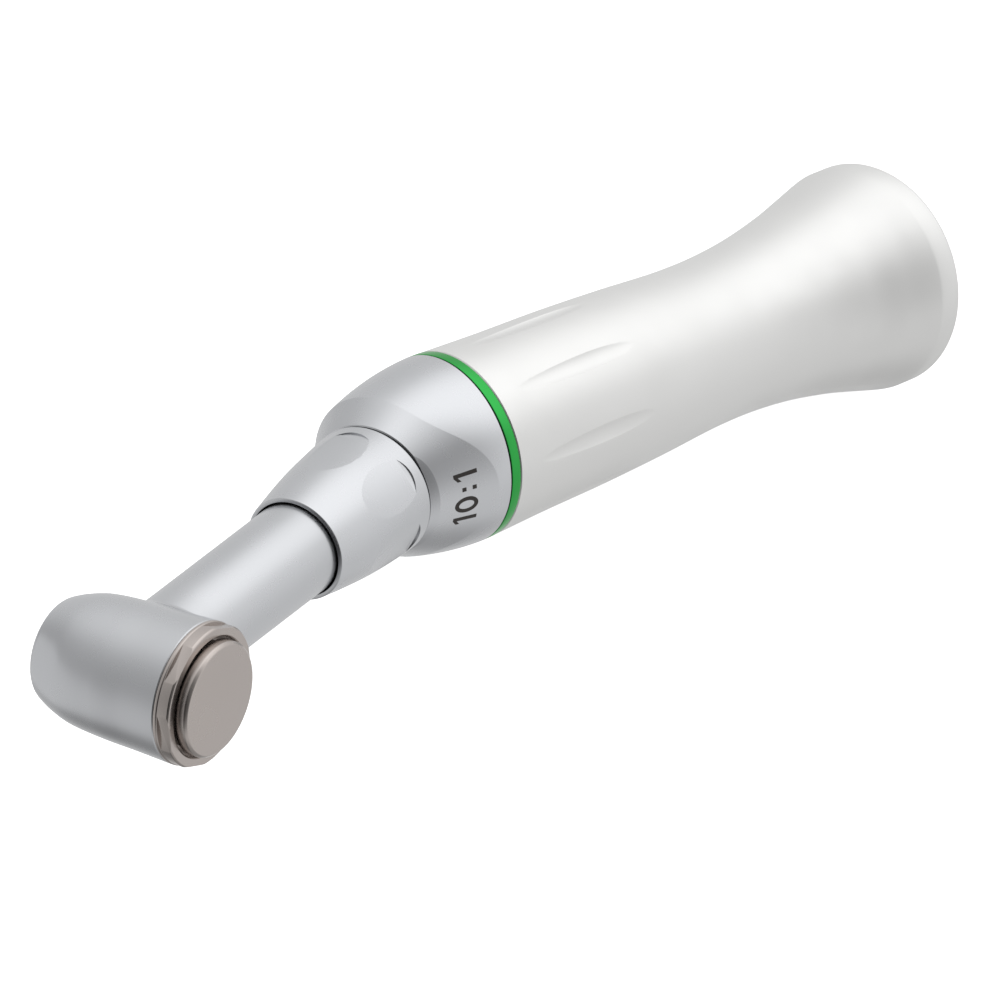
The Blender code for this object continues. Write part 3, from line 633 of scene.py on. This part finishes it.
def build_button():
    """Chuck button: a chamfered cap on a hollow stem, with a stub that meets the release pusher."""
    outline = soften([
        (0.0, BUTTON_FACE), (BUTTON_R - 0.2, BUTTON_FACE, 0.08), (BUTTON_R, BUTTON_FACE - 0.2, 0.08),
        (BUTTON_R, 5.92, 0.05), (BUTTON_STEM_R, 5.92), (BUTTON_STEM_R, BUTTON_FOOT), (3.0, BUTTON_FOOT),
        (3.0, 6.1), (1.1, 6.1), (1.1, BUTTON_FOOT), (0.0, BUTTON_FOOT)])
    button = revolve("button_shell", HEAD, outline)
    return finish_piece(button, NICKEL, "button", "matt_nickel", "push_button")


def build_spring(name, frame, coil_r, wire_r, low, high, turns, body, node):
    """An open coil spring, wound from its low end to its high end, with a mesh of its own."""
    rings = []
    for part in steps_between(0.0, 1.0, turns * STEPS_PER_TURN):
        angle = 2 * math.pi * turns * part
        outward = Vector((math.cos(angle), math.sin(angle), 0.0))
        height = low + wire_r + (high - low - 2 * wire_r) * part
        rings.append([outward * (coil_r + wire_r * math.cos(a)) + UP * (height + wire_r * math.sin(a))
                      for a in circle_angles(WIRE_SIDES)])
    spring = finish_piece(loft(name, frame, rings), SPRING, body, "spring_steel", node)
    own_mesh(spring)
    return spring


# ---------------------------------------------------------------- marking
def stroke(u_from, u_to, v_from, v_to, lean=0.0, columns=3, rows=8):
    """A bar of the marking as small quads: u round the nose, v towards the head."""
    across, along = steps_between(0.0, 1.0, columns), steps_between(0.0, 1.0, rows)

    def corner(i, k):
        u = u_from + (u_to - u_from) * across[i]
        return (u, v_from + (v_to - v_from) * along[k] + lean * across[i])

    return [[corner(i, k), corner(i + 1, k), corner(i + 1, k + 1), corner(i, k + 1)]
            for i in range(columns) for k in range(rows)]


def annulus(u, v, radius_u, radius_v, width, steps=36):
    """An oval ring of the marking, as quads."""
    quads = []
    for i in range(steps):
        corners = []
        for k, inset in ((i, 0.0), (i + 1, 0.0), (i + 1, width), (i, width)):
            angle = 2 * math.pi * k / steps
            across = u + (radius_u - inset) * math.cos(angle)
            corners.append((across, v + (radius_v - inset) * math.sin(angle)))
        quads.append(corners)
    return quads


def build_marking():
    """The plain gear ratio, ten to one, as a thin dark inlay that follows the nose."""
    height, width = DIGIT_HEIGHT, DIGIT_WIDTH
    quads = []
    for u in ONES_AT:
        quads += stroke(u - width / 2, u + width / 2, 0.0, height)
        quads += stroke(u - width / 2 - 0.36, u - width / 2, height - 0.62, height - 0.3, 0.28)
    quads += annulus(ZERO_AT, height / 2, ZERO_R, height / 2, width)
    for v in (0.32, 1.2):
        quads += stroke(0.62, 0.96, v - width / 2, v + width / 2)
    shell = bmesh.new()
    for quad in quads:
        corners = []
        for u, v in quad:
            point = casing_point(DIGIT_FOOT - v, u / RING_R, INK_LIFT)
            corners.append(shell.verts.new(point * MM))
        shell.faces.new(corners)
    bmesh.ops.remove_doubles(shell, verts=shell.verts, dist=0.000002)
    for face in shell.faces:
        face.normal_update()
    flip = [f for f in shell.faces if f.normal.y > 0.0]
    bmesh.ops.reverse_faces(shell, faces=flip)
    bmesh.ops.solidify(shell, geom=shell.faces[:], thickness=INK_DEPTH * MM)
    bmesh.ops.recalc_face_normals(shell, faces=shell.faces)
    mesh = bpy.data.meshes.new("ratio_marking")
    shell.to_mesh(mesh)
    shell.free()
    return finish_piece(link_mesh("ratio_marking", mesh), INK, "shank", "spring_steel")


# ---------------------------------------------------------------- stage
def build_camera():
    """The camera, a long lens a little above the object."""
    data = bpy.data.cameras.new("view")
    data.lens = CAMERA_LENS
    data.sensor_width = SENSOR
    data.clip_start = 0.005
    camera = bpy.data.objects.new("view", data)
    bpy.context.scene.collection.objects.link(camera)
    turn = Matrix((CAMERA_RIGHT, -Vector(CAMERA_DOWN), -Vector(CAMERA_FORWARD))).transposed()
    camera.matrix_world = Matrix.Translation(CAMERA_AT) @ turn.to_4x4()
    bpy.context.scene.camera = camera


def build_floor():
    """White paper that glows a little, so that no shadow greys it; no piece reflects it."""
    mesh = bpy.data.meshes.new("floor")
    corners = ((-1, -1), (1, -1), (1, 1), (-1, 1))
    mesh.from_pydata([(x * FLOOR_HALF, y * FLOOR_HALF, FLOOR_Z) for x, y in corners], [], [(0, 1, 2, 3)])
    floor = bpy.data.objects.new("floor", mesh)
    bpy.context.scene.collection.objects.link(floor)
    paper = bpy.data.materials.new("white_paper")
    paper.use_nodes = True
    shader = paper.node_tree.nodes["Principled BSDF"]
    shader.inputs["Base Color"].default_value = (PAPER_WHITE, PAPER_WHITE, PAPER_WHITE, 1.0)
    shader.inputs["Roughness"].default_value = 0.9
    shader.inputs["Specular IOR Level"].default_value = 0.0
    shader.inputs["Emission Color"].default_value = (1.0, 1.0, 1.0, 1.0)
    shader.inputs["Emission Strength"].default_value = PAPER_GLOW
    mesh.materials.append(paper)
    floor.visible_glossy = False
    floor.visible_diffuse = False


def add_lobe(tree, direction, inner_deg, outer_deg, amount, total):
    """Adds a soft patch of light, or takes it away, round one direction of the surroundings."""
    nodes, links = tree.nodes, tree.links
    sight = nodes["Texture Coordinate"].outputs["Generated"]
    dot = nodes.new("ShaderNodeVectorMath")
    dot.operation = "DOT_PRODUCT"
    dot.inputs[1].default_value = Vector(direction).normalized()
    links.new(sight, dot.inputs[0])
    ramp = nodes.new("ShaderNodeMapRange")
    ramp.interpolation_type = "SMOOTHSTEP"
    ramp.inputs["From Min"].default_value = math.cos(math.radians(outer_deg))
    ramp.inputs["From Max"].default_value = math.cos(math.radians(inner_deg))
    ramp.inputs["To Max"].default_value = amount
    links.new(dot.outputs["Value"], ramp.inputs["Value"])
    add = nodes.new("ShaderNodeMath")
    add.operation = "ADD"
    links.new(ramp.outputs["Result"], add.inputs[1])
    if isinstance(total, float):
        add.inputs[0].default_value = total
    else:
        links.new(total, add.inputs[0])
    return add.outputs["Value"]


def build_light():
    """An even white surround with the soft patches added, and never darker than the least light."""
    world = bpy.data.worlds.new("tent")
    bpy.context.scene.world = world
    world.use_nodes = True
    tree = world.node_tree
    tree.nodes.new("ShaderNodeTexCoord")
    total = TENT_LIGHT
    for direction, inner_deg, outer_deg, amount in LIGHT_PATCHES:
        total = add_lobe(tree, direction, inner_deg, outer_deg, amount, total)
    least = tree.nodes.new("ShaderNodeMath")
    least.operation = "MAXIMUM"
    least.inputs[1].default_value = LEAST_LIGHT
    tree.links.new(total, least.inputs[0])
    tree.links.new(least.outputs["Value"], tree.nodes["Background"].inputs["Strength"])
    tree.nodes["Background"].inputs["Color"].default_value = (1.0, 1.0, 1.0, 1.0)
    bpy.context.scene.view_settings.view_transform = "Standard"


# ---------------------------------------------------------------- the scene
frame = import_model()

SHANK = frame_matrix(Vector((0.0, 0.0, 0.0)), Vector((1.0, 0.0, 0.0)))
NECK = frame_matrix(BEND_POINT, NECK_DIR)
HEAD = frame_matrix(HEAD_POINT, HEAD_DIR)

SATIN = metal("satin_silver", (0.83, 0.83, 0.82), 0.38, metallic=0.74, grain=0.02, shade=0.015)
BLUE_SATIN = metal("satin_blue_silver", (0.60, 0.61, 0.63), 0.27, grain=0.004, spread=0.02, shade=0.03)
GREEN = metal("green_anodised", (0.04, 0.38, 0.075), 0.22, metallic=1.0, grain=0.01, shade=0.05)
NICKEL = metal("matt_nickel", (0.50, 0.455, 0.43), 0.25, grain=0.02, shade=0.03)
STEEL = metal("stainless_steel", (0.56, 0.565, 0.575), 0.27, grain=0.08, shade=0.04)
SPRING = metal("spring_steel", (0.36, 0.365, 0.38), 0.3, grain=0.06, shade=0.05)
BRONZE = metal("sintered_bronze", (0.52, 0.34, 0.17), 0.48, grain=0.3, grain_scale=5200.0, shade=0.12)
RUBBER = metal("seal_rubber", (0.03, 0.03, 0.034), 0.7, metallic=0.0, grain=0.15, shade=0.2)
INK = metal("laser_mark", (0.045, 0.038, 0.034), 0.55, metallic=0.2, grain=0.2, shade=0.2)
BY_SLOT = {"satin_silver": SATIN, "satin_blue_silver": BLUE_SATIN, "green_anodised": GREEN,
           "matt_nickel": NICKEL, "stainless_steel": STEEL, "spring_steel": SPRING,
           "sintered_bronze": BRONZE, "seal_rubber": RUBBER}

for part in frame["record"]["subparts"]:
    node = frame["nodes"][part["node"]]
    node.data.materials.clear()
    node.data.materials.append(BY_SLOT[part["material_slot"]])

build_sheath()
build_ring()
build_nose()
build_collar()
build_barrel()
build_neck()
build_cap()
build_button()
build_spring("dog_coil", SHANK, 2.45, 0.17, shank(17.05), shank(19.1), 3,
             "input", "dog_spring")
build_spring("pusher_coil", HEAD, 1.24, 0.1, 1.92, 3.04, 3,
             "spindle", "pusher_spring")
build_spring("button_coil", HEAD, 2.2, 0.18, 4.34, 6.04, 2,
             "head_unit", "button_spring")
build_marking()
build_camera()
build_floor()
build_light()
